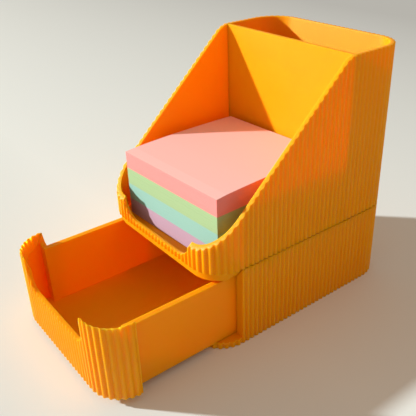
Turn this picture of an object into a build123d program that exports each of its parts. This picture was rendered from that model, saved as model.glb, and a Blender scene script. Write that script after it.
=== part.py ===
from build123d import *
from math import asin, cos, degrees, radians, sin
import os

# Desk organizer in three stacked shells, all sizes in millimetres.
# A housing holds a drawer, and an upper tray for square memo pads and pens
# plugs into the housing's rim. Every outside wall is a ring of convex ribs.
# Origin: centre of the footprint on the table. +Z is up, -Y is the drawer side.

# Outside shape, measured on the mean line of the ribs
body_width = 97.2
body_depth = 127.2
body_height = 135.0
corner_radius = 17.1
rib_pitch = 3.0
rib_depth = 1.0
rib_chords = 6
ribs_per_corner = 8

# Seam between the lower and the upper shells
rim_height = 45.0
seam_gap = 0.3
seat_height = 40.8
plug_inset_top = 0.95
plug_inset_bottom = 3.4
plug_clearance = 0.3

# Housing
housing_floor = 3.5
housing_wall = 4.8
cavity_corner_radius = 6.0

# Drawer, drawn in the half-open place where it rests
drawer_open = 59.1
drawer_clearance = 0.6
closing_gap = 0.5
drawer_shoulder = 17.4
drawer_height = 39.3
drawer_floor = 1.6
drawer_wall = 3.2
drawer_back_radius = 3.0
front_wall = 2.2
web_thickness = 2.8
lip_height = 27.7
drawer_notch_bottom = 55.8
drawer_notch_top = 60.4
drawer_notch_radius = 8.0

# Upper tray
tray_wall = 2.2
tray_floor_top = 44.0
divider_front = 87.8
divider_thickness = 2.0
side_front_height = 57.2
side_slope_angle = 42.54
side_rounding = 13.5
tray_notch_width = 61.4
tray_notch_height = 48.4
tray_notch_radius = 12.0

# Memo pads
pad_side = 76.0
pad_thickness = 9.3
pad_offset_x = -0.96
pad_front_to_centre = 47.8
pad_turn = 2.2
pad_names = ["memo_pad_lilac", "memo_pad_teal", "memo_pad_green", "memo_pad_pink"]

# Derived places
front = -body_depth / 2
back = body_depth / 2
seam_top = rim_height + seam_gap
corner_x = body_width / 2 - corner_radius
corner_y = body_depth / 2 - corner_radius
plug_slope = (plug_inset_bottom - plug_inset_top) / (seam_top - seat_height)
seat_inset_bottom = plug_inset_bottom - plug_clearance
seat_inset_top = plug_inset_top + seam_gap * plug_slope - plug_clearance
cavity_half_width = body_width / 2 - housing_wall
cavity_back = back - housing_wall
wall_front = front + drawer_shoulder + closing_gap


def polar(radius, angle):
    """Give the point at a radius and an angle in degrees."""
    return Vector(radius * cos(radians(angle)), radius * sin(radians(angle)))


def rib(first, last, outward):
    """Draw one round rib between two valleys, as a few chords of its arc."""
    half_pitch = (last - first).length / 2
    radius = (half_pitch**2 + rib_depth**2) / (2 * rib_depth)
    half_angle = degrees(asin(half_pitch / radius))
    centre = (first + last) / 2 + outward * (rib_depth - radius)
    along = (last - first) / (2 * half_pitch)
    points = []
    for index in range(rib_chords + 1):
        place = polar(radius, 90 + half_angle - 2 * half_angle * index / rib_chords)
        points.append(centre + along * place.X + outward * place.Y)
    Polyline(first, *points[1:-1], last)


def straight_ribs(start, finish, outward):
    """Draw a row of ribs from one valley to another, bulging outward."""
    count = max(1, round((finish - start).length / rib_pitch))
    step = (finish - start) / count
    for index in range(count):
        rib(start + step * index, start + step * (index + 1), outward)


def corner_ribs(centre, start_angle):
    """Draw a quarter turn of ribs about a corner centre."""
    valley_radius = corner_radius - rib_depth / 2
    step = 90 / ribs_per_corner
    for index in range(ribs_per_corner):
        angle = start_angle + step * index
        first = centre + polar(valley_radius, angle)
        last = centre + polar(valley_radius, angle + step)
        rib(first, last, polar(1, angle + step / 2))


def ribbed_ring():
    """Draw the closed ring of ribs round the whole footprint."""
    valley_x = body_width / 2 - rib_depth / 2
    valley_y = body_depth / 2 - rib_depth / 2
    straight_ribs(Vector(-corner_x, -valley_y), Vector(corner_x, -valley_y), Vector(0, -1))
    corner_ribs(Vector(corner_x, -corner_y), -90)
    straight_ribs(Vector(valley_x, -corner_y), Vector(valley_x, corner_y), Vector(1, 0))
    corner_ribs(Vector(corner_x, corner_y), 0)
    straight_ribs(Vector(corner_x, valley_y), Vector(-corner_x, valley_y), Vector(0, 1))
    corner_ribs(Vector(-corner_x, corner_y), 90)
    straight_ribs(Vector(-valley_x, corner_y), Vector(-valley_x, -corner_y), Vector(-1, 0))
    corner_ribs(Vector(-corner_x, -corner_y), 180)


def inset_outline(inset):
    """Draw the mean outline without ribs, moved inward by the inset."""
    RectangleRounded(body_width - 2 * inset, body_depth - 2 * inset, corner_radius - inset)


def drawer_plane(height):
    """Give the level plane at a height, pulled forward with the drawer."""
    return Plane((0, -drawer_open, height))


os.makedirs("parts", exist_ok=True)

# Housing: a full floor, walls behind the drawer front and a tapered seat in the rim
with BuildPart() as housing:
    with BuildSketch():
        with BuildLine():
            ribbed_ring()
        make_face()
    extrude(amount=rim_height)
    with BuildSketch(Plane.XY.offset(housing_floor)):
        with Locations((0, wall_front)):
            Rectangle(2 * body_width, body_depth, align=(Align.CENTER, Align.MAX))
    extrude(amount=rim_height, mode=Mode.SUBTRACT)
    with BuildSketch(Plane.XY.offset(housing_floor)) as cavity:
        with Locations((0, cavity_back)):
            Rectangle(2 * cavity_half_width, body_depth, align=(Align.CENTER, Align.MAX))
        fillet(cavity.vertices().group_by(Axis.Y)[-1], radius=cavity_corner_radius)
    extrude(amount=rim_height, mode=Mode.SUBTRACT)
    with BuildSketch(Plane.XY.offset(seat_height)):
        inset_outline(seat_inset_bottom)
    with BuildSketch(Plane.XY.offset(rim_height)):
        inset_outline(seat_inset_top)
    loft(mode=Mode.SUBTRACT)
housing.part.label = "drawer_housing"
export_step(housing.part, "parts/drawer_housing.step")

# Drawer: ribbed front with both corners, then a plain box joined to it by webs
with BuildPart() as drawer:
    with BuildSketch(drawer_plane(housing_floor)):
        with BuildLine():
            ribbed_ring()
        make_face()
        with Locations((0, front + drawer_shoulder)):
            Rectangle(2 * body_width, 2 * body_depth, align=(Align.CENTER, Align.MIN), mode=Mode.SUBTRACT)
    extrude(amount=rim_height - housing_floor)
    # Front pockets follow the outline as far as the webs
    with BuildSketch(drawer_plane(housing_floor + drawer_floor)):
        inset_outline(front_wall)
        with Locations((0, front + drawer_shoulder - web_thickness)):
            Rectangle(2 * body_width, 2 * body_depth, align=(Align.CENTER, Align.MIN), mode=Mode.SUBTRACT)
    extrude(amount=rim_height, mode=Mode.SUBTRACT)
    # The raised rim has the taper of the housing's seat, and the webs fall on to the box's top
    with BuildSketch(drawer_plane(seat_height)):
        inset_outline(seat_inset_bottom)
    with BuildSketch(drawer_plane(rim_height)):
        inset_outline(seat_inset_top)
    loft(mode=Mode.SUBTRACT)
    with BuildSketch(drawer_plane(drawer_height)):
        inset_outline(housing_wall + drawer_clearance)
    with BuildSketch(drawer_plane(seat_height)):
        inset_outline(seat_inset_bottom)
    loft(mode=Mode.SUBTRACT)
    # The long box behind, open on top
    with BuildSketch(drawer_plane(housing_floor)) as box:
        with Locations((0, front + drawer_shoulder)):
            Rectangle(
                2 * (cavity_half_width - drawer_clearance),
                cavity_back - drawer_clearance - front - drawer_shoulder,
                align=(Align.CENTER, Align.MIN),
            )
        fillet(box.vertices().group_by(Axis.Y)[-1], radius=cavity_corner_radius - drawer_clearance)
    extrude(amount=drawer_height - housing_floor)
    with BuildSketch(drawer_plane(housing_floor + drawer_floor)) as bay:
        with Locations((0, cavity_back - drawer_clearance - drawer_wall)):
            Rectangle(
                2 * (cavity_half_width - drawer_clearance - drawer_wall),
                body_depth - housing_wall - drawer_clearance - drawer_wall - drawer_shoulder / 2,
                align=(Align.CENTER, Align.MAX),
            )
        fillet(bay.vertices().group_by(Axis.Y)[-1], radius=drawer_back_radius)
    extrude(amount=rim_height, mode=Mode.SUBTRACT)
    # Notch in the front for fingers
    with BuildSketch(Plane.XZ.offset(drawer_open - front)) as notch:
        with BuildLine():
            Polyline(
                (-drawer_notch_top / 2, rim_height),
                (-drawer_notch_bottom / 2, lip_height),
                (drawer_notch_bottom / 2, lip_height),
                (drawer_notch_top / 2, rim_height),
                close=True,
            )
        make_face()
        fillet(notch.vertices().group_by(Axis.Y)[0], radius=drawer_notch_radius)
    extrude(amount=2 * front_wall, both=True, mode=Mode.SUBTRACT)
drawer.part.label = "drawer"
export_step(drawer.part, "parts/drawer.step")

# Upper tray: ribbed shell on a smooth tapered plug, divider, sloping sides
with BuildPart() as tray:
    with BuildSketch(Plane.XY.offset(seam_top)):
        with BuildLine():
            ribbed_ring()
        make_face()
    extrude(amount=body_height - seam_top)
    with BuildSketch(Plane.XY.offset(seat_height)):
        inset_outline(plug_inset_bottom)
    with BuildSketch(Plane.XY.offset(seam_top)):
        inset_outline(plug_inset_top)
    loft()
    with BuildSketch(Plane.XY.offset(tray_floor_top)):
        inset_outline(tray_wall)
        with Locations((0, front + divider_front)):
            Rectangle(body_width, divider_thickness, align=(Align.CENTER, Align.MIN), mode=Mode.SUBTRACT)
    extrude(amount=body_height, mode=Mode.SUBTRACT)
    # Slope of the side walls, rounded where it meets the top rim
    with BuildSketch(Plane.YZ) as slope:
        with BuildLine():
            slope_line = PolarLine(
                (front, side_front_height),
                length=(body_height - side_front_height) / sin(radians(side_slope_angle)),
                angle=side_slope_angle,
            )
            Polyline(
                slope_line @ 1,
                (back, body_height),
                (back, 2 * body_height),
                (2 * front, 2 * body_height),
                (2 * front, side_front_height),
                slope_line @ 0,
            )
        make_face()
        fillet(slope.vertices().sort_by_distance(slope_line @ 1)[0], radius=side_rounding)
    extrude(amount=body_width, both=True, mode=Mode.SUBTRACT)
    # Notch in the front of the memo bay
    with BuildSketch(Plane.XZ.offset(-front)) as tray_notch:
        with Locations((0, tray_notch_height)):
            Rectangle(tray_notch_width, body_height, align=(Align.CENTER, Align.MIN))
        fillet(tray_notch.vertices().group_by(Axis.Y)[0], radius=tray_notch_radius)
    extrude(amount=2 * tray_wall, both=True, mode=Mode.SUBTRACT)
tray.part.label = "upper_tray"
export_step(tray.part, "parts/upper_tray.step")

# Four memo pads of one size, stacked on the tray's floor and turned a little
pad_plane = Plane((pad_offset_x, front + pad_front_to_centre, tray_floor_top)).rotated((0, 0, pad_turn))
for index, pad_name in enumerate(pad_names):
    with BuildPart() as pad:
        with BuildSketch(pad_plane.offset(index * pad_thickness)):
            Rectangle(pad_side, pad_side)
        extrude(amount=pad_thickness)
    pad.part.label = pad_name
    export_step(pad.part, f"parts/{pad_name}.step")
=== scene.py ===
import math
import bmesh
import bpy
import numpy as np
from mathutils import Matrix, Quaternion, Vector


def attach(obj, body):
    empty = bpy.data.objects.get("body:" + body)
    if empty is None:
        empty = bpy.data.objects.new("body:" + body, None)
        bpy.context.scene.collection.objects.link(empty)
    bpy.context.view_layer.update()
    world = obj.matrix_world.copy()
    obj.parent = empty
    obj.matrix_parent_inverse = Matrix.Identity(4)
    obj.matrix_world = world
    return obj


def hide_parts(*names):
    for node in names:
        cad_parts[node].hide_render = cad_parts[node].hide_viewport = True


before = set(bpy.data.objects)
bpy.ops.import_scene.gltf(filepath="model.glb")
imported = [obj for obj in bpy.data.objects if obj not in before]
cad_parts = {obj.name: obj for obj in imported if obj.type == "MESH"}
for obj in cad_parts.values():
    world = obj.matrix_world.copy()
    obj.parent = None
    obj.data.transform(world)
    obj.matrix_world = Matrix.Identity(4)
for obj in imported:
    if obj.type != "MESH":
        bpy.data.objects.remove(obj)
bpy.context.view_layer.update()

# ---------------------------------------------------------------- drawer housing
# The lower shell, printed in one piece: a full floor with a ribbed edge, walls behind the
# drawer front and a tapered seat in the rim. Like the other shells it is a ring of columns
# of points, in mm, that run up the outside, over the rim and down the inside.

MM = 0.001
HALF_WIDTH = 48.6  # to the middle of the ribs' height, like every outline here
HALF_DEPTH = 63.6
CORNER_RADIUS = 17.1
RIM_HEIGHT = 45.0
FLOOR_TOP = 3.5
HOUSING_WALL = 4.8
CAVITY_CORNER = 6.0
WALL_FRONT = 17.9 - HALF_DEPTH
SEAT_LEDGE = 40.8
SEAT_FOOT_INSET = 3.1
SEAT_TOP_INSET = 0.8

RIBS_ACROSS = 21
RIBS_ALONG = 31
RIBS_PER_CORNER = 8
CORNER_RIB_WIDTH = 3.26
RIB_STEPS = 12
RIB_PEAK = 0.5
VALLEY_DEPTH = 0.88
VALLEY_SHARPNESS = 1.2


def rib_curve(width):
    """One rib as offset along the wall and height over the outline, from valley to valley."""
    for step in range(RIB_STEPS):
        share = step / RIB_STEPS - 0.5
        depth = 0.5 - 0.5 * math.cos(2 * math.pi * share)
        yield share * width, RIB_PEAK - VALLEY_DEPTH * depth**VALLEY_SHARPNESS


def ribbed_places():
    """Places round the outline, counter-clockwise: point, outward direction, rib height."""
    places = []

    def straight(start, end, outward, count):
        start, end, outward = Vector(start), Vector(end), Vector(outward)
        width = (end - start).length / count
        for rib in range(count):
            for offset, height in rib_curve(width):
                share = (rib + 0.5) / count + offset / (count * width)
                places.append((start + (end - start) * share, outward, height))

    def corner(centre, first_angle):
        for rib in range(RIBS_PER_CORNER):
            for offset, height in rib_curve(CORNER_RIB_WIDTH):
                turn = (rib + 0.5 + offset / CORNER_RIB_WIDTH) * 90 / RIBS_PER_CORNER
                angle = math.radians(first_angle + turn)
                outward = Vector((math.cos(angle), math.sin(angle)))
                places.append((Vector(centre) + outward * CORNER_RADIUS, outward, height))

    cx, cy = HALF_WIDTH - CORNER_RADIUS, HALF_DEPTH - CORNER_RADIUS
    straight((-cx, -HALF_DEPTH), (cx, -HALF_DEPTH), (0, -1), RIBS_ACROSS)
    corner((cx, -cy), -90)
    straight((HALF_WIDTH, -cy), (HALF_WIDTH, cy), (1, 0), RIBS_ALONG)
    corner((cx, cy), 0)
    straight((cx, HALF_DEPTH), (-cx, HALF_DEPTH), (0, 1), RIBS_ACROSS)
    corner((-cx, cy), 90)
    straight((-HALF_WIDTH, cy), (-HALF_WIDTH, -cy), (-1, 0), RIBS_ALONG)
    corner((-cx, -cy), 180)
    return places


def between(place, other, share):
    """The place a share of the way to another, with the first one's outward direction."""
    return (place[0].lerp(other[0], share), place[1], place[2] + (other[2] - place[2]) * share)


def at(place, inset, z, ribbed=0.0):
    """A point of a column: the outline moved inward, with its share of the rib added."""
    point, outward, rib_height = place
    moved = point + outward * (ribbed * rib_height - inset)
    return (moved.x, moved.y, z)


def shell_from_columns(name, columns, body, node):
    """Join a ring of columns into a closed shell with both its floors, and ride it on its body."""
    count, rows = len(columns), len(columns[0])
    mesh = bpy.data.meshes.new(name)
    points = [(x * MM, y * MM, z * MM) for column in columns for x, y, z in column]
    faces = []
    for index in range(count):
        here, there = index * rows, (index + 1) % count * rows
        for row in range(rows - 1):
            faces.append((here + row, there + row, there + row + 1, here + row + 1))
    faces.append([index * rows for index in range(count)][::-1])
    faces.append([index * rows + rows - 1 for index in range(count)])
    mesh.from_pydata(points, [], faces)
    bm = bmesh.new()
    bm.from_mesh(mesh)
    bmesh.ops.remove_doubles(bm, verts=bm.verts, dist=2e-6)
    bmesh.ops.dissolve_degenerate(bm, edges=bm.edges, dist=1e-6)
    bmesh.ops.recalc_face_normals(bm, faces=bm.faces)
    bm.to_mesh(mesh)
    bm.free()
    mesh.shade_smooth()
    mesh.set_sharp_from_angle(angle=math.radians(24))
    floors = [face for face in mesh.polygons if face.loop_total > 20]
    floor_edges = {key for face in floors for key in face.edge_keys}
    for edge in mesh.edges:
        edge.use_edge_sharp = edge.use_edge_sharp or edge.key in floor_edges
    mesh.materials.append(printed_plastic)
    obj = bpy.data.objects.new(name, mesh)
    bpy.context.scene.collection.objects.link(obj)
    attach(obj, body)
    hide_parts(node)


# Printed orange-yellow plastic: matte, a little translucent, with faint printed layers
printed_plastic = bpy.data.materials.new("shell_plastic_print")
printed_plastic.use_nodes = True
tree = printed_plastic.node_tree
tree.nodes.clear()
out = tree.nodes.new("ShaderNodeOutputMaterial")
bsdf = tree.nodes.new("ShaderNodeBsdfPrincipled")
coord = tree.nodes.new("ShaderNodeTexCoord")
cloud = tree.nodes.new("ShaderNodeTexNoise")
cloud.inputs["Scale"].default_value = 60
cloud.inputs["Detail"].default_value = 3
tone = tree.nodes.new("ShaderNodeMix")
tone.data_type = "RGBA"
tone.inputs[6].default_value = (0.99, 0.355, 0.002, 1)
tone.inputs[7].default_value = (0.995, 0.38, 0.004, 1)
layers = tree.nodes.new("ShaderNodeTexWave")
layers.wave_type = "BANDS"
layers.bands_direction = "Z"
layers.inputs["Scale"].default_value = 1570
layers.inputs["Distortion"].default_value = 0.4
layers.inputs["Detail"].default_value = 1
bump = tree.nodes.new("ShaderNodeBump")
bump.inputs["Strength"].default_value = 0.12
bump.inputs["Distance"].default_value = 0.00004
bsdf.inputs["Roughness"].default_value = 0.4
bsdf.inputs["Specular IOR Level"].default_value = 0.14
bsdf.inputs["Subsurface Weight"].default_value = 1.0
bsdf.inputs["Subsurface Radius"].default_value = (1.0, 0.7, 0.5)
bsdf.inputs["Subsurface Scale"].default_value = 0.0028
link = tree.links.new
link(coord.outputs["Object"], cloud.inputs["Vector"])
link(coord.outputs["Object"], layers.inputs["Vector"])
link(cloud.outputs["Fac"], tone.inputs[0])
link(tone.outputs[2], bsdf.inputs["Base Color"])
link(layers.outputs["Fac"], bump.inputs["Height"])
link(bump.outputs["Normal"], bsdf.inputs["Normal"])
link(bsdf.outputs["BSDF"], out.inputs["Surface"])


def housing_column(place, rim):
    """A housing column: rim is the rim's height, or the floor's where no wall stands."""
    point, outward, _ = place
    half_cavity = HALF_WIDTH - HOUSING_WALL
    inner = point - outward * HOUSING_WALL
    inner.x = max(-half_cavity, min(half_cavity, inner.x))
    if outward.y > 0.001 and abs(outward.x) > 0.001:
        # Rear corners: the cavity has its own, smaller rounding
        centre_x = math.copysign(half_cavity - CAVITY_CORNER, outward.x)
        centre_y = HALF_DEPTH - HOUSING_WALL - CAVITY_CORNER
        inner = Vector((centre_x, centre_y)) + outward * CAVITY_CORNER

    def low(z):
        return min(z, rim)

    return [
        at(place, 0.35, 0, 1),
        at(place, 0.1, 0.1, 1),
        at(place, 0, 0.35, 1),
        at(place, 0, rim - 0.35, 1),
        at(place, 0.09, rim - 0.07, 1),
        at(place, 0.3, rim, 1),
        at(place, SEAT_TOP_INSET, low(RIM_HEIGHT - 0.5)),
        at(place, SEAT_FOOT_INSET, low(SEAT_LEDGE)),
        (*(inner + outward * 0.2), low(SEAT_LEDGE)),
        (*inner, low(SEAT_LEDGE - 0.2)),
        (*inner, low(FLOOR_TOP + 0.4)),
        (*(inner - outward * 0.12), low(FLOOR_TOP + 0.12)),
        (*(inner - outward * 0.4), FLOOR_TOP),
    ]


places = ribbed_places()
columns = []
for index, place in enumerate(places):
    before = places[index - 1]
    if (before[0].y - WALL_FRONT) * (place[0].y - WALL_FRONT) < 0:
        # A side wall ends here: a column for the floor's edge and one for the wall's, at one place
        share = (WALL_FRONT - before[0].y) / (place[0].y - before[0].y)
        wall_end = between(before, place, share)
        rims = (FLOOR_TOP, RIM_HEIGHT) if place[0].x > 0 else (RIM_HEIGHT, FLOOR_TOP)
        columns += [housing_column(wall_end, rims[0]), housing_column(wall_end, rims[1])]
    columns.append(housing_column(place, RIM_HEIGHT if place[0].y > WALL_FRONT else FLOOR_TOP))
shell_from_columns("drawer_housing_shell", columns, "housing", "drawer_housing")

# ---------------------------------------------------------------- drawer
# Printed in the same plastic: a ribbed front that wraps both corners, webs behind them and
# a plain box that slides on the housing's floor. Drawn pulled out, as it rests.

PULL = 59.1
SHOULDER = 17.4 - HALF_DEPTH
WEB_FRONT = 14.6 - HALF_DEPTH
FRONT_WALL = 2.2
DRAWER_FOOT = FLOOR_TOP + 0.06
DRAWER_FLOOR = FLOOR_TOP + 1.6
LIP_HEIGHT = 27.7
NOTCH_FOOT = 27.9
NOTCH_TOP = 30.2
NOTCH_RADIUS = 8.0
SIDE_GAP = 0.6
DRAWER_WALL = 3.2
BOX_TOP = 39.3
BOX_HALF_WIDTH = HALF_WIDTH - HOUSING_WALL - SIDE_GAP
BOX_BACK = HALF_DEPTH - HOUSING_WALL - SIDE_GAP
BOX_CORNER = CAVITY_CORNER - SIDE_GAP
BAY_HALF_WIDTH = BOX_HALF_WIDTH - DRAWER_WALL
BAY_BACK = BOX_BACK - DRAWER_WALL
BAY_CORNER = 3.0
WEB_CORNER = (46.19, WEB_FRONT)
RIM_TAPER = 0.29  # inset per mm of height inside the raised rim, where the plug stands out


def taper(x):
    """Height of the web's top at a distance from the centre line, from the box up to the rim."""
    across = [BOX_HALF_WIDTH, HALF_WIDTH - SEAT_FOOT_INSET, HALF_WIDTH - SEAT_TOP_INSET]
    return float(np.interp(x, across, [BOX_TOP, SEAT_LEDGE, RIM_HEIGHT]))


def fullness(y):
    """How much the tray's plug stands out at a depth: fully in front, where it hangs over the drawer."""
    return max(0.0, min(1.0, (-49.5 - y) / 4))


def front_top(x):
    """Height of the drawer front's top edge: a notch with rounded lower corners between the raised ends."""
    x = abs(x)
    arc_x, arc_z = 20.99, LIP_HEIGHT + NOTCH_RADIUS
    if x > NOTCH_TOP:
        return RIM_HEIGHT
    if x < arc_x:
        return LIP_HEIGHT
    side = LIP_HEIGHT + (x - NOTCH_FOOT) / (NOTCH_TOP - NOTCH_FOOT) * (RIM_HEIGHT - LIP_HEIGHT)
    side = min(side, RIM_HEIGHT)
    if x < arc_x + NOTCH_RADIUS * 0.989:
        arc = arc_z - math.sqrt(max(0, NOTCH_RADIUS**2 - (x - arc_x) ** 2))
        return arc if x < 28.3 else max(arc, side)
    return side


def drawer_column(mean, ribbed, inner, tops, middle=None):
    """A drawer column up the outside and down the inside; tops are outer, middle and inner."""
    (ox, oy), (rx, ry), (ix, iy) = mean, ribbed, inner
    mx, my = ((ox + ix) / 2, (oy + iy) / 2) if middle is None else middle
    top_outer, top_middle, top_inner = tops
    ex, ey = ix - ox, iy - oy
    thickness = math.hypot(ex, ey)
    ex, ey = ex / thickness, ey / thickness
    return [
        (rx + ex * 0.35, ry + ey * 0.35, DRAWER_FOOT),
        (rx + ex * 0.1, ry + ey * 0.1, DRAWER_FOOT + 0.08),
        (rx, ry, DRAWER_FOOT + 0.29),
        (rx, ry, top_outer - 0.25),
        (rx + ex * 0.07, ry + ey * 0.07, top_outer - 0.07),
        (rx + ex * 0.2, ry + ey * 0.2, top_outer),
        (mx, my, top_middle),
        (ix - ex * 0.15, iy - ey * 0.15, top_inner),
        (ix, iy, top_inner - 0.2),
        (ix, iy, DRAWER_FLOOR + 0.4),
        (ix + ex * 0.12, iy + ey * 0.12, DRAWER_FLOOR + 0.12),
        (ix + ex * 0.4, iy + ey * 0.4, DRAWER_FLOOR),
    ]


def box_column(outer, inner, middle=None):
    """A column of the plain box, level on top."""
    return drawer_column(outer, outer, inner, (BOX_TOP, BOX_TOP, BOX_TOP), middle)


# Right half of the ribbed front, with more columns where the notch curves
half_front = [place for place in places if place[0].y < SHOULDER and place[0].x >= 0]
start = places.index(half_front[0])
columns = []
for index in range(start, start + len(half_front)):
    place, after = places[index], places[index + 1]
    pieces = 3 if 20 < place[0].x < 31.5 and abs(place[1].x) < 0.1 else 1
    for piece in range(pieces):
        point, outward, rib_height = between(place, after, piece / pieces)
        top = front_top(point.x) if abs(outward.x) < 0.1 else RIM_HEIGHT
        full = fullness(point.y)
        rim_inset = SEAT_TOP_INSET - 0.65 * full + RIM_TAPER * (RIM_HEIGHT - top)
        middle = point - outward * min(1.4, rim_inset)
        inner = point - outward * FRONT_WALL
        if inner.y > WEB_FRONT:
            inner = Vector(WEB_CORNER)
        tops = (top, top, min(top, 42.45 - 4 * full))
        columns.append(drawer_column(point, point + outward * rib_height, inner, tops, middle))

# The web falls from the raised rim to the box's top
web_steps = (HALF_WIDTH, HALF_WIDTH - SEAT_TOP_INSET, 46.4, HALF_WIDTH - SEAT_FOOT_INSET, 44.4)
for x in (*web_steps, BOX_HALF_WIDTH):
    beside = x > WEB_CORNER[0]
    inner = WEB_CORNER if beside else (x, WEB_FRONT)
    top, top_inner = taper(x), taper(inner[0]) - 0.2 * beside
    tops = (top, (top + top_inner) / 2, top_inner)
    columns.append(drawer_column((x, SHOULDER), (x, SHOULDER), inner, tops))
# The floor has one corner there, so that its edge doesn't cross itself
for column in columns:
    floor_x, floor_y, _ = column[-1]
    if floor_x > 45.6 and floor_y > WEB_FRONT - 0.41:
        column[-1] = (45.72, WEB_FRONT - 0.4, DRAWER_FLOOR)

# The box behind: start of the side wall, side wall, rear corner, rear wall
for x in (42.0, 41.0, BAY_HALF_WIDTH):
    columns.append(box_column((BOX_HALF_WIDTH, SHOULDER), (x, WEB_FRONT)))
corner_y = BOX_BACK - BOX_CORNER
for y in (-43.0, -20.0, 20.0, 50.0, corner_y):
    columns.append(box_column((BOX_HALF_WIDTH, y), (BAY_HALF_WIDTH, y)))
corner_steps = 12
for step in range(1, corner_steps):
    angle = math.radians(90 * step / corner_steps)
    outward = Vector((math.cos(angle), math.sin(angle)))
    outer = Vector((BOX_HALF_WIDTH - BOX_CORNER, corner_y)) + outward * BOX_CORNER
    inner = Vector((BAY_HALF_WIDTH - BAY_CORNER, BAY_BACK - BAY_CORNER)) + outward * BAY_CORNER
    columns.append(box_column(outer, inner))
for x in (BOX_HALF_WIDTH - BOX_CORNER, 20.0, 0.0):
    inner = (min(x, BAY_HALF_WIDTH - BAY_CORNER), BAY_BACK)
    columns.append(box_column((x, BOX_BACK), inner, (x, (BOX_BACK + BAY_BACK) / 2)))
mirrored = [[(-x, y, z) for x, y, z in column] for column in columns[::-1]]
columns = [[(x, y - PULL, z) for x, y, z in column] for column in columns + mirrored[1:-1]]
shell_from_columns("drawer_shell", columns, "drawer_body", "drawer")

# ---------------------------------------------------------------- upper tray
# Printed in the same plastic: a smooth tapered plug below a ribbed shell whose rim follows
# the sloping sides and dips to a rounded notch in front. It stands with the plug in the
# housing's seat. A thin divider of one piece with it crosses it at full height.

TRAY_HEIGHT = 135.0
SLOPE_START = 57.2
SLOPE = 0.9177
SLOPE_END = 79.95
ROUNDING = 13.5
ROUNDING_END = 90.06
TRAY_NOTCH_HALF_WIDTH = 30.7
TRAY_NOTCH_RADIUS = 12.0
TRAY_NOTCH_FLOOR = 48.4
TRAY_WALL = 2.2
TRAY_FLOOR = 44.0
RIBS_FOOT = 45.5
PLUG_TOP = 45.8


def tray_top(x, y):
    """Height of the tray's rim at a point of the plan."""
    run = y + HALF_DEPTH
    z = SLOPE_START + SLOPE * run
    if run > SLOPE_END:
        left = ROUNDING_END - min(run, ROUNDING_END)
        z = TRAY_HEIGHT - ROUNDING + math.sqrt(max(0, ROUNDING**2 - left**2))
    z = min(z, TRAY_HEIGHT)
    if y < -55 and abs(x) < TRAY_NOTCH_HALF_WIDTH:
        over = max(0.0, abs(x) - TRAY_NOTCH_HALF_WIDTH + TRAY_NOTCH_RADIUS)
        arc = math.sqrt(max(0, TRAY_NOTCH_RADIUS**2 - over**2))
        z = min(z, TRAY_NOTCH_FLOOR + TRAY_NOTCH_RADIUS - arc)
    return z


def tray_column(place):
    """A tray column: plug, ledge under the ribs, ribbed wall, rim, inner wall and floor."""
    full = fullness(place[0].y)
    column = [
        at(place, 3.6 - 1.8 * full, SEAT_LEDGE),
        at(place, 3.35 - 1.8 * full, SEAT_LEDGE + 0.2),
        at(place, 0.95 - 0.65 * full, PLUG_TOP - 0.3 * full),
        at(place, 0.3, RIBS_FOOT, 1),
        at(place, 0.08, RIBS_FOOT + 0.08, 1),
        at(place, 0, RIBS_FOOT + 0.3, 1),
    ]
    outside = ((0, 0.25, 1), (0.07, 0.07, 1), (0.25, 0, 1))
    inside = ((0.9, 0, 0), (TRAY_WALL - 0.25, 0, 0), (TRAY_WALL - 0.07, 0.07, 0), (TRAY_WALL, 0.25, 0))
    for inset, drop, ribbed in outside + inside:
        x, y, _ = at(place, inset, 0, ribbed)
        column.append((x, y, tray_top(x, y) - drop))
    return column + [
        at(place, TRAY_WALL, TRAY_FLOOR + 0.4),
        at(place, TRAY_WALL + 0.12, TRAY_FLOOR + 0.12),
        at(place, TRAY_WALL + 0.4, TRAY_FLOOR),
    ]


columns = []
for index, place in enumerate(places):
    after = places[(index + 1) % len(places)]
    # More columns where the notch curves
    pieces = 4 if 17 < abs(place[0].x) < 31.5 and place[1].y < -0.9 else 1
    for piece in range(pieces):
        columns.append(tray_column(between(place, after, piece / pieces)))
shell_from_columns("upper_tray_shell", columns, "tray", "upper_tray")

# The divider, sunk a little into the floor and the side walls, its top a hair lower in front
DIVIDER_WIDTH = 93.3
DIVIDER_THICKNESS = 2.0
DIVIDER_MIDDLE = 25.2
divider_mesh = bpy.data.meshes.new("tray_divider")
bm = bmesh.new()
bmesh.ops.create_cube(bm, size=1)
for v in bm.verts:
    top = TRAY_HEIGHT - (0.17 if v.co.y < 0 else 0.04)
    z = TRAY_FLOOR - 0.3 if v.co.z < 0 else top
    y = DIVIDER_MIDDLE + v.co.y * DIVIDER_THICKNESS
    v.co = (v.co.x * DIVIDER_WIDTH * MM, y * MM, z * MM)
upper_edges = [e for e in bm.edges if all(v.co.z > 100 * MM for v in e.verts)]
long_edges = [e for e in upper_edges if abs(e.verts[0].co.x - e.verts[1].co.x) > 10 * MM]
bmesh.ops.bevel(bm, geom=long_edges, offset=0.2 * MM, segments=2, affect="EDGES")
bm.to_mesh(divider_mesh)
bm.free()
divider_mesh.materials.append(printed_plastic)
divider = bpy.data.objects.new("tray_divider", divider_mesh)
bpy.context.scene.collection.objects.link(divider)
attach(divider, "tray")

# ---------------------------------------------------------------- memo pads
# Four pads of thin square notes, one colour of paper each, laid loose on each other.
# Geometry nodes stack one sheet up the pad and shift each a hair, then lift the middle
# of the upper sheets where they bow.

SHEETS = 90
PAD_THICKNESS = 0.0093
SHEET_SIDE = 0.0758
SHEET_SHIFT = 0.00006
PAD_TURN = math.radians(2.2)
PAD_X, PAD_Y = -0.00096, -0.0158


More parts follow.
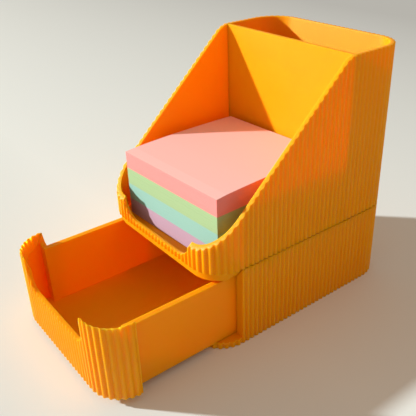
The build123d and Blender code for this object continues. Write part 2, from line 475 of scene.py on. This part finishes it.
def paper(name, edge_colour, face_colour):
    """Paper: the cut edges show the deeper colour, the top sheet the paler one."""
    material = bpy.data.materials.new(name)
    material.use_nodes = True
    tree = material.node_tree
    tree.nodes.clear()
    add, link = tree.nodes.new, tree.links.new
    out = add("ShaderNodeOutputMaterial")
    bsdf = add("ShaderNodeBsdfPrincipled")
    facing = add("ShaderNodeNewGeometry")
    split = add("ShaderNodeSeparateXYZ")
    upward = add("ShaderNodeMapRange")
    upward.inputs["From Min"].default_value = 0.5
    upward.inputs["From Max"].default_value = 0.8
    mix = add("ShaderNodeMix")
    mix.data_type = "RGBA"
    mix.inputs[6].default_value = (*edge_colour, 1)
    mix.inputs[7].default_value = (*face_colour, 1)
    coord = add("ShaderNodeTexCoord")
    fibre = add("ShaderNodeTexNoise")
    fibre.inputs["Scale"].default_value = 900
    fibre.inputs["Detail"].default_value = 4
    bump = add("ShaderNodeBump")
    bump.inputs["Strength"].default_value = 0.1
    bump.inputs["Distance"].default_value = 0.00003
    bsdf.inputs["Roughness"].default_value = 0.85
    bsdf.inputs["Specular IOR Level"].default_value = 0.2
    link(facing.outputs["Normal"], split.inputs[0])
    link(split.outputs["Z"], upward.inputs["Value"])
    link(upward.outputs["Result"], mix.inputs[0])
    link(mix.outputs[2], bsdf.inputs["Base Color"])
    link(coord.outputs["Object"], fibre.inputs["Vector"])
    link(fibre.outputs["Fac"], bump.inputs["Height"])
    link(bump.outputs["Normal"], bsdf.inputs["Normal"])
    link(bsdf.outputs["BSDF"], out.inputs["Surface"])
    return material


stack = bpy.data.node_groups.new("sheet_stack", "GeometryNodeTree")
stack_inputs = (
    ("Geometry", "NodeSocketGeometry"),
    ("Sheets", "NodeSocketInt"),
    ("Pitch", "NodeSocketFloat"),
    ("Shift", "NodeSocketFloat"),
    ("Bow", "NodeSocketFloat"),
    ("Seed", "NodeSocketInt"),
    ("Paper", "NodeSocketMaterial"),
)
for label, kind in stack_inputs:
    stack.interface.new_socket(label, in_out="INPUT", socket_type=kind)
stack.interface.new_socket("Geometry", in_out="OUTPUT", socket_type="NodeSocketGeometry")
add, link = stack.nodes.new, stack.links.new
given, result = add("NodeGroupInput"), add("NodeGroupOutput")


def times(value, factor):
    """The product of an output and a number or another output."""
    product = add("ShaderNodeMath")
    product.operation = "MULTIPLY"
    link(value, product.inputs[0])
    if isinstance(factor, float):
        product.inputs[1].default_value = factor
    else:
        link(factor, product.inputs[1])
    return product.outputs[0]


# One sheet, a little thinner than the pitch so that the edges of the sheets show
sheet_size = add("ShaderNodeCombineXYZ")
sheet_size.inputs["X"].default_value = SHEET_SIDE
sheet_size.inputs["Y"].default_value = SHEET_SIDE
sheet = add("GeometryNodeMeshCube")
sheet.inputs["Vertices X"].default_value = 9
sheet.inputs["Vertices Y"].default_value = 13
sheet.inputs["Vertices Z"].default_value = 2
link(times(given.outputs["Pitch"], 0.9), sheet_size.inputs["Z"])
link(sheet_size.outputs[0], sheet.inputs["Size"])

# One place for each sheet up the pad, nudged a hair sideways
upward, first_place = add("ShaderNodeCombineXYZ"), add("ShaderNodeCombineXYZ")
sheet_places = add("GeometryNodeMeshLine")
link(given.outputs["Pitch"], upward.inputs["Z"])
link(times(given.outputs["Pitch"], 0.5), first_place.inputs["Z"])
link(given.outputs["Sheets"], sheet_places.inputs["Count"])
link(upward.outputs[0], sheet_places.inputs["Offset"])
link(first_place.outputs[0], sheet_places.inputs["Start Location"])
nudge_low, nudge_high = add("ShaderNodeCombineXYZ"), add("ShaderNodeCombineXYZ")
nudge = add("FunctionNodeRandomValue")
nudge.data_type = "FLOAT_VECTOR"
nudged = add("GeometryNodeSetPosition")
opposite_shift = times(given.outputs["Shift"], -1.0)
for axis in ("X", "Y"):
    link(opposite_shift, nudge_low.inputs[axis])
    link(given.outputs["Shift"], nudge_high.inputs[axis])
link(nudge_low.outputs[0], nudge.inputs["Min"])
link(nudge_high.outputs[0], nudge.inputs["Max"])
link(given.outputs["Seed"], nudge.inputs["Seed"])
link(sheet_places.outputs["Mesh"], nudged.inputs["Geometry"])
link(nudge.outputs["Value"], nudged.inputs["Offset"])
stacked, real = add("GeometryNodeInstanceOnPoints"), add("GeometryNodeRealizeInstances")
link(nudged.outputs["Geometry"], stacked.inputs["Points"])
link(sheet.outputs["Mesh"], stacked.inputs["Instance"])
link(stacked.outputs["Instances"], real.inputs["Geometry"])

# The bow: nothing at the front edge, most near the middle, and more the higher the sheet
where, split = add("GeometryNodeInputPosition"), add("ShaderNodeSeparateXYZ")
depth, height = add("ShaderNodeMapRange"), add("ShaderNodeMapRange")
depth.inputs["From Min"].default_value = -0.038
depth.inputs["From Max"].default_value = 0.038
height.inputs["From Min"].default_value = 0.0
height.inputs["From Max"].default_value = PAD_THICKNESS
bow_curve = add("ShaderNodeFloatCurve")
for x, y in ((0.2, 0.75), (0.45, 1.0)):
    bow_curve.mapping.curves[0].points.new(x, y)
bow_curve.mapping.curves[0].points[0].location = (0, 0)
bow_curve.mapping.curves[0].points[-1].location = (1, 0.35)
bow_curve.mapping.update()
lift, bowed = add("ShaderNodeCombineXYZ"), add("GeometryNodeSetPosition")
link(where.outputs[0], split.inputs[0])
link(split.outputs["Y"], depth.inputs["Value"])
link(split.outputs["Z"], height.inputs["Value"])
link(depth.outputs["Result"], bow_curve.inputs["Value"])
share = times(bow_curve.outputs[0], height.outputs["Result"])
link(times(share, given.outputs["Bow"]), lift.inputs["Z"])
link(real.outputs["Geometry"], bowed.inputs["Geometry"])
link(lift.outputs[0], bowed.inputs["Offset"])

painted = add("GeometryNodeSetMaterial")
link(bowed.outputs["Geometry"], painted.inputs["Geometry"])
link(given.outputs["Paper"], painted.inputs["Material"])
link(painted.outputs["Geometry"], result.inputs["Geometry"])

# Colour of the cut edges, colour of the face, and how far the top sheet bows, lowest pad first
pads = (
    ("lilac", (0.52, 0.34, 0.44), (0.64, 0.46, 0.56), 0.0),
    ("teal", (0.31, 0.54, 0.47), (0.43, 0.67, 0.6), 0.0),
    ("green", (0.39, 0.54, 0.29), (0.51, 0.68, 0.4), 0.0),
    ("pink", (0.88, 0.28, 0.26), (0.96, 0.57, 0.55), 0.0011),
)
cos_turn, sin_turn = math.cos(PAD_TURN), math.sin(PAD_TURN)
input_names = {s.name: s.identifier for s in stack.interface.items_tree if s.in_out == "INPUT"}
for index, (colour, edge_colour, face_colour, bow) in enumerate(pads):
    mesh = bpy.data.meshes.new("memo_pad_%s_sheets" % colour)
    obj = bpy.data.objects.new(mesh.name, mesh)
    bpy.context.scene.collection.objects.link(obj)
    modifier = obj.modifiers.new("sheets", "NODES")
    modifier.node_group = stack
    values = {
        "Sheets": SHEETS,
        "Pitch": PAD_THICKNESS / SHEETS,
        "Shift": SHEET_SHIFT,
        "Bow": bow,
        "Seed": index + 3,
        "Paper": paper("paper_" + colour, edge_colour, face_colour),
    }
    for label, value in values.items():
        modifier[input_names[label]] = value
    bpy.context.view_layer.update()
    evaluated = obj.evaluated_get(bpy.context.evaluated_depsgraph_get())
    made = bpy.data.meshes.new_from_object(evaluated)
    obj.modifiers.clear()
    obj.data = made
    made.name = mesh.name
    pad_foot = TRAY_FLOOR * MM + index * PAD_THICKNESS
    for v in made.vertices:
        x, y, z = v.co
        turned_x, turned_y = cos_turn * x - sin_turn * y, sin_turn * x + cos_turn * y
        v.co = (turned_x + PAD_X, turned_y + PAD_Y, z + pad_foot)
    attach(obj, "pad_" + colour)
    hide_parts("memo_pad_" + colour)

# ---------------------------------------------------------------- floor, light and camera
# A pale table whose colour carries painted shade: darker towards the back and a little towards
# the front, lightest round the drawer. A low sun from the front left, a little softened, and an
# even pale sky. The camera stands to the right of the drawer and looks down.

floor_mesh = bpy.data.meshes.new("table_top")
reach = 4
floor_corners = [(-reach, -reach, 0), (reach, -reach, 0), (reach, reach, 0), (-reach, reach, 0)]
floor_mesh.from_pydata(floor_corners, [], [(0, 1, 2, 3)])
floor = bpy.data.objects.new("table_top", floor_mesh)
bpy.context.scene.collection.objects.link(floor)
table = bpy.data.materials.new("table_with_painted_falloff")
table.use_nodes = True
tree = table.node_tree
bsdf = tree.nodes["Principled BSDF"]
coord = tree.nodes.new("ShaderNodeTexCoord")
split = tree.nodes.new("ShaderNodeSeparateXYZ")
shade_by_depth = tree.nodes.new("ShaderNodeMapRange")
shade_by_depth.inputs["From Min"].default_value = -0.25
shade_by_depth.inputs["From Max"].default_value = 0.65
# The ramp paints light and shade into the table's colour: painted shade darkens it towards the back, and a
# little towards the front against glare bounced off the lit plastic, and its cool tint offsets the warm sky
tone = tree.nodes.new("ShaderNodeValToRGB")
tone.color_ramp.elements[0].color = (0.7, 0.78, 0.8, 1)
tone.color_ramp.elements[1].color = (0.5, 0.52, 0.53, 1)
brightest = tone.color_ramp.elements.new(0.244)
brightest.color = (0.88, 0.94, 0.95, 1)
bsdf.inputs["Roughness"].default_value = 0.7
bsdf.inputs["Specular IOR Level"].default_value = 0.2
tree.links.new(coord.outputs["Object"], split.inputs[0])
tree.links.new(split.outputs["Y"], shade_by_depth.inputs["Value"])
tree.links.new(shade_by_depth.outputs["Result"], tone.inputs["Fac"])
tree.links.new(tone.outputs["Color"], bsdf.inputs["Base Color"])
floor_mesh.materials.append(table)

sky = bpy.data.worlds.new("pale_sky")
bpy.context.scene.world = sky
sky.use_nodes = True
background = sky.node_tree.nodes["Background"]
background.inputs["Color"].default_value = (1.0, 0.8, 0.62, 1)
background.inputs["Strength"].default_value = 0.44

sun_data = bpy.data.lights.new("window_sun", "SUN")
sun_data.energy = 5.0
sun_data.angle = math.radians(2.5)
sun_data.color = (0.95, 1.0, 0.97)
sun = bpy.data.objects.new("window_sun", sun_data)
bpy.context.scene.collection.objects.link(sun)
sun.rotation_mode = "QUATERNION"
sun_travel = Vector((1.0, 0.95, -0.49))
sun.rotation_quaternion = sun_travel.to_track_quat("-Z", "Y")

eye = Vector((0.23078, -0.19902, 0.21116))
target = Vector((-0.01066, -0.02103, 0.04524))
roll = Quaternion((0, 0, 1), math.radians(-2.146))
camera_data = bpy.data.cameras.new("camera")
camera_data.lens = 52.355
camera = bpy.data.objects.new("camera", camera_data)
bpy.context.scene.collection.objects.link(camera)
camera.location = eye
camera.rotation_mode = "QUATERNION"
camera.rotation_quaternion = (target - eye).to_track_quat("-Z", "Y") @ roll
bpy.context.scene.camera = camera
bpy.context.scene.view_settings.view_transform = "Standard"
